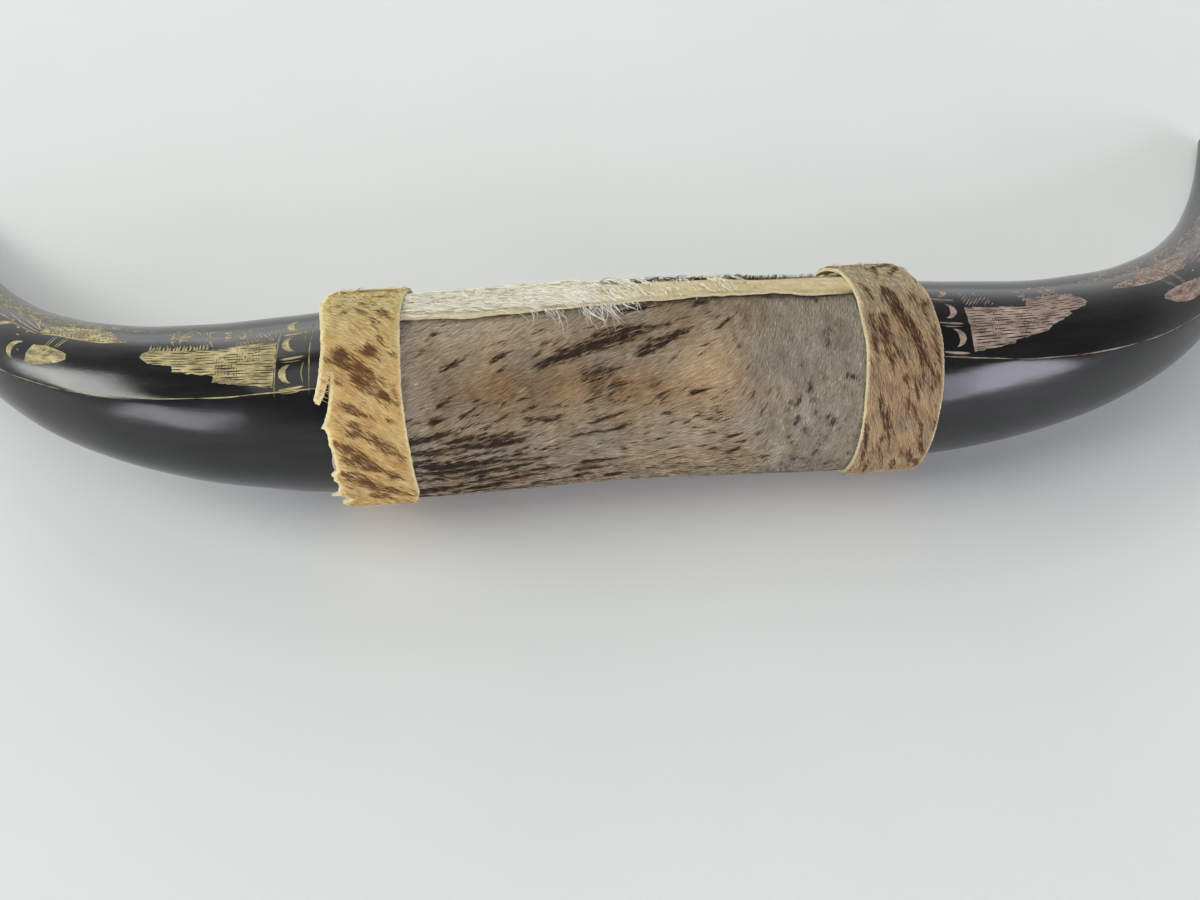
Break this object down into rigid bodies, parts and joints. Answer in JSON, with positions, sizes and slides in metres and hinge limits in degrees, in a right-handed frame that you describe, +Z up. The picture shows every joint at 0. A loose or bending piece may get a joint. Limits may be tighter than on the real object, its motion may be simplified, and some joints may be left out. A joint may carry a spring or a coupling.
{
  "type": "buffalo horn",
  "caption": "Pair of engraved black buffalo horns joined base to base by a core wrapped in hair-on hide, with a hide strap round each end, lying on its back.",
  "frame": {"origin": "on the table under the middle of the whole pair's bounding box", "axes": "+X along the span towards the longer horn, +Y from the wrapped core towards the horn tips, +Z up from the table"},
  "size_m": [0.6824, 0.2234, 0.0862],
  "materials": {
    "horn": "polished black horn, engraved",
    "core_wood": "bare turned wood",
    "spotted_hide": "short hair, grey-beige with brown streaks",
    "pale_hide": "rawhide with short white hair",
    "golden_hide": "short golden hair with brown streaks",
    "tan_hide": "short tan hair with dark streaks"
  },
  "bodies": {
    "root": {"horn_left": "horn", "horn_right": "horn", "core": "core_wood", "hide_wrap": "spotted_hide", "seam_strip": "pale_hide", "cuff_left": "golden_hide", "cuff_right": "tan_hide"}
  },
  "joints": []
}
